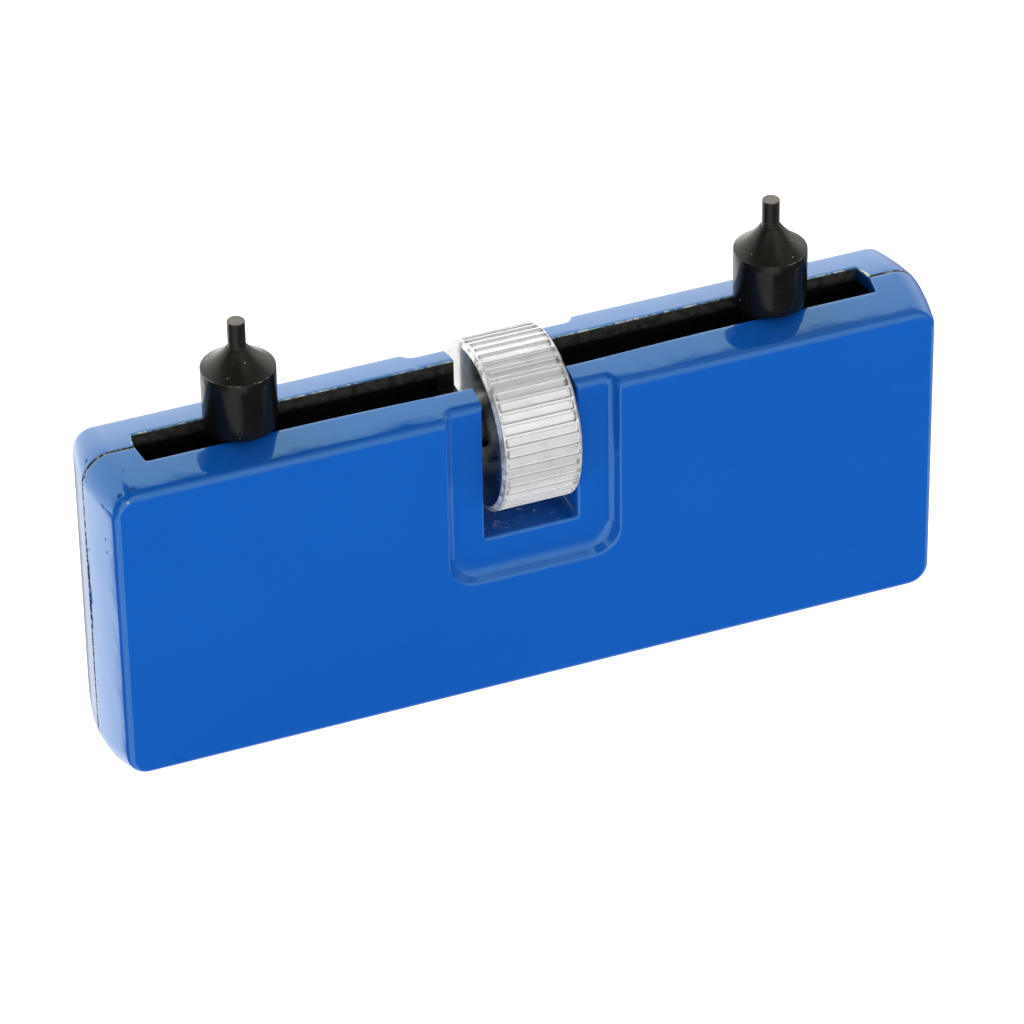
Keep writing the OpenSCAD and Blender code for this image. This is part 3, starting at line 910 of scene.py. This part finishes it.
# ---- the lead screw ----
def lead_screw():
    """The screw, lofted along its axis: plain in the middle, a thread of each hand, a journal at each end."""
    pitch, turns, depth, sides, per_pitch = 1.0, 29, 0.5, 48, 12
    journal_r, journal_start = 1.4, 35.45
    start = CHANNEL_START + 0.2
    end = start + turns * pitch

    def thread(x, angle):
        """Radius at x and at an angle about +X. The two sides mirror each other, so their hands differ."""
        turn = (abs(x) / pitch - angle / (2 * math.pi)) % 1.0
        wave = abs(turn - 0.5) * 2
        crest = min(1.0, max(0.0, (wave - 0.2) / 0.5))
        fade = min(1.0, max(0.0, (abs(x) - start) / 0.6)) * min(1.0, max(0.0, (end - abs(x)) / 0.3))
        return THREAD_R - depth * (1 - crest) * fade

    n = turns * per_pitch
    right = [0.0, 2.0, start - 0.02] + [start + turns * pitch * k / n for k in range(n + 1)]
    stations = [(x, None) for x in [-x for x in reversed(right[1:])] + right]
    bevel = 0.2
    left_end = [(-SCREW_HIGH.x, journal_r - bevel), (-SCREW_HIGH.x + bevel, journal_r),
                (-journal_start, journal_r)]
    right_end = [(-x, r) for x, r in reversed(left_end)]
    rings = []
    for x, r in left_end + stations + right_end:
        ring = []
        for k in range(sides):
            a = 2 * math.pi * k / sides
            radius = thread(x, a) if r is None else r
            ring.append((x, radius * math.cos(a), AXIS_Z + radius * math.sin(a)))
        rings.append(ring)
    points, faces = loft(rings)
    obj = mesh_object("threaded_lead_screw", points, faces, [SCREW_STEEL])
    smooth(obj, 45)
    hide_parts("lead_screw")
    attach(obj, "wheel_and_screw")


lead_screw()


# ---- the jaws ----
def jaw(side, shoulder_z):
    """A turned jaw: stud, round head up to its shoulder, hollow cone and pin."""
    node = f"{side}_jaw"
    low, high = box_mm(node)
    x = (low.x + high.x) / 2
    head_r = (high.x - low.x) / 2
    stud_r, head_z, pin_r, pin_z = 1.25, 32.1, 0.8, 40.2
    rim = 0.05
    profile = [(0, low.z), (stud_r - 0.15, low.z), (stud_r, low.z + 0.15), (stud_r, head_z)]
    profile += [(head_r - 0.2, head_z), (head_r - 0.06, head_z + 0.05), (head_r, head_z + 0.18)]
    profile += [(head_r, head_z + (shoulder_z - head_z) * k / 6) for k in range(1, 6)]
    profile += [(head_r, shoulder_z - rim), (head_r - 0.3 * rim, shoulder_z - 0.25 * rim),
                (head_r - rim, shoulder_z)]
    # the cone sags a little below a straight slope, and turns up into the pin on a fillet
    slope = math.atan2(pin_z - shoulder_z, head_r - pin_r)
    sag, steps = 0.16, 14
    fillet_w, fillet_z, fillet_h = 0.14, pin_z - 0.18, 0.1815
    for k in range(1, steps + 1):
        t = k / steps
        r = head_r - rim + (pin_r + fillet_w - head_r + rim) * t
        z = shoulder_z + (fillet_z - shoulder_z) * t
        hollow = 4 * sag * t * (1 - t)
        profile.append((r - hollow * math.sin(slope), z - hollow * math.cos(slope)))
    for k in range(1, 5):
        a = math.radians(25 + 65 * k / 4)
        profile.append((pin_r + fillet_w * (1 - math.sin(a)), fillet_z + fillet_h * (1 - math.cos(a))))
    profile += [(pin_r, pin_z + (high.z - pin_z) * k / 4) for k in range(1, 4)]
    profile += [(pin_r, high.z - 0.06), (pin_r - 0.06, high.z), (0, high.z)]

    def slot_of(r, z):
        """The pin's ground end, the rubbed rim, the cone, or the rest."""
        if z > high.z - 0.04:
            return 3
        if abs(z - shoulder_z + rim / 2) < rim * 0.7 and r > head_r - rim:
            return 2
        return 1 if z > shoulder_z else 0

    obj = lathe(f"{side}_jaw_turned", profile, (x, 0), [OXIDE, CONE, RIM, GROUND], slot_of)
    smooth(obj, 40)
    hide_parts(node)
    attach(obj, f"{side}_jaw_slider")


jaw("left", 38.0)
jaw("right", 37.6)


# ---- CAD nodes that stay, with finished edges and materials ----
def finish_nodes(names, material, edge=0.08):
    """Gives CAD nodes a material, and breaks their edges by a modifier."""
    for name in names:
        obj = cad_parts[name]
        obj.data.materials.clear()
        obj.data.materials.append(material)
        modifier = obj.modifiers.new("broken_edges", "BEVEL")
        modifier.width = edge * MM
        modifier.segments = 2
        modifier.limit_method = "ANGLE"
        modifier.angle_limit = math.radians(40)
        weighted_normals(obj)


SIDES = ("left", "right")
finish_nodes([f"{s}_{f}_guide_strip" for s in SIDES for f in ("front", "rear")], OXIDE)
finish_nodes([f"{s}_{place}_bush" for s in SIDES for place in ("end", "centre")], BRONZE)
finish_nodes([f"{s}_nut_block" for s in SIDES], OXIDE, 0.15)
finish_nodes([f"{s}_thrust_washer" for s in SIDES], PLATED, 0.04)
finish_nodes([f"{s}_jaw_pin_lock" for s in SIDES], PLATED, 0.05)
finish_nodes(["wheel_pin", "locating_pins", "shell_screws"], PLATED, 0.05)


# ---- floor, light and camera ----
def floor():
    """A white sweep that glows a little, so that it stays pale under the tool. Reflections don't see it."""
    m = Material("studio_floor", Roughness=0.8, Specular_IOR_Level=0.0, Emission_Color=(1, 1, 1, 1),
                 Emission_Strength=0.95)
    m.link(m.mix(m.noise(6, 3), (0.52, 0.52, 0.52, 1), (0.56, 0.56, 0.56, 1)), "Base Color")
    size, z = 2500, -0.02
    points = [(-size, -size, z), (size, -size, z), (size, size, z), (-size, size, z)]
    obj = mesh_object("studio_floor", points, [(0, 1, 2, 3)], [m.material])
    obj.visible_glossy = False


def studio_light():
    """A white tent with dark gaps: over the tool, behind the camera, and low at the left, right and front."""
    world = bpy.data.worlds.new("studio")
    bpy.context.scene.world = world
    world.use_nodes = True
    w = Nodes(world.node_tree)
    sky = w.tree.nodes["Background"]
    direction = w.add("ShaderNodeTexCoord").outputs["Generated"]
    x, y, z = w.add("ShaderNodeSeparateXYZ", {0: direction}).outputs

    def towards(x, y, z):
        """Cosine of the angle from a direction."""
        return w.add("ShaderNodeVectorMath", {0: direction, 1: Vector((x, y, z)).normalized()},
                     operation="DOT_PRODUCT").outputs["Value"]

    def fan(bearing, rise, fall, peak=1.0):
        """A range of bearings, in degrees: light rises over the pair rise, and falls over the pair fall."""
        rise, fall = [math.radians(a) for a in rise], [math.radians(a) for a in fall]
        return w.times(w.range(bearing, *rise), w.range(bearing, fall[1], fall[0], 0.0, peak))

    # the upper part: a bright back, a gap overhead that is deepest above the tool, and a softer front
    across = towards(0.204, 0.979, 0)
    sideways = towards(0.979, -0.204, 0)
    hole = w.range(w.size(w.math("SUBTRACT", sideways, 0.2)), 0.80, 0.22)
    edge = w.math("SUBTRACT", across, w.times(hole, 0.30))
    back = w.times(w.range(edge, 0.16, 0.245), w.range(z, 0.35, 0.80, 2.2, 2.05))
    front = w.range(across, -0.28, -0.44, 0.0, 1.55)
    behind_camera = w.range(towards(-0.22, -0.55, 0.80), 0.93, 0.975, 1.0, 0.12)
    upper = w.plus(back, w.times(front, behind_camera))
    upper = w.math("MAXIMUM", upper, w.range(sideways, 0.18, 0.28, 0.0, 0.55))
    # dimmer low at the right, and at the left in front
    at_right = w.times(w.range(sideways, 0.15, 0.40), w.range(z, -0.40, 0.35, 0.87, 0.15))
    at_left = w.times(w.range(sideways, -0.35, -0.70), w.range(across, 0.32, 0.15, 0.0, 0.9))
    upper = w.times(upper, w.math("SUBTRACT", w.math("SUBTRACT", 1.0, at_right), at_left))
    # the lower part, seen only in reflections: bright at the back and the front left, softer at the right,
    # and dim where it is seen in the surfaces that only graze the view
    from_right = w.math("ARCTAN2", y, x)
    from_left = w.math("ARCTAN2", w.times(y, -1.0), w.times(x, -1.0))
    ramp = w.range(from_right, math.radians(85), math.radians(125), 1.15, 2.3)
    low_back = w.times(fan(from_right, (58, 70), (131, 139.5)), ramp)
    low_left = fan(from_left, (-12, 16), (73, 80), 1.2)
    low_right = fan(from_right, (-40, -20), (15, 48), 0.75)
    lower = w.plus(w.plus(low_back, low_left), low_right)
    away = w.range(towards(0.291, 0.762, -0.578), 0.955, 0.992, 1.0, 0.35)
    lower = w.math("MAXIMUM", w.times(lower, away), 0.06)
    mixed = w.add("ShaderNodeMix", {0: w.range(z, -0.42, -0.51), 2: upper, 3: lower}, data_type="FLOAT")
    w.tree.links.new(w.math("MAXIMUM", mixed.outputs[0], 0.08), sky.inputs["Strength"])
    sky.inputs["Color"].default_value = (1.0, 1.0, 0.95, 1)


def camera():
    """The photograph's view: a long lens from the front left, 35 degrees above the bench."""
    azimuth, elevation, roll = math.radians(-20.895), math.radians(35.311), math.radians(-1.01)
    distance = 560.55
    aim = Vector((0.06, 0.0, 15.44))
    back = Vector((math.sin(azimuth) * math.cos(elevation),
                   -math.cos(azimuth) * math.cos(elevation),
                   math.sin(elevation)))
    data = bpy.data.cameras.new("camera")
    data.lens = 218.09
    data.sensor_width = 36
    data.clip_start = 0.01
    obj = bpy.data.objects.new("camera", data)
    bpy.context.scene.collection.objects.link(obj)
    right = Vector((0, 0, 1)).cross(back).normalized()
    up = back.cross(right)
    tilted = Matrix.Rotation(roll, 3, back)
    axes = Matrix((tilted @ right, tilted @ up, back)).transposed()
    obj.matrix_world = Matrix.LocRotScale((aim + back * distance) * MM, axes.to_quaternion(), None)
    bpy.context.scene.camera = obj


floor()
studio_light()
camera()
bpy.context.scene.view_settings.view_transform = "Standard"
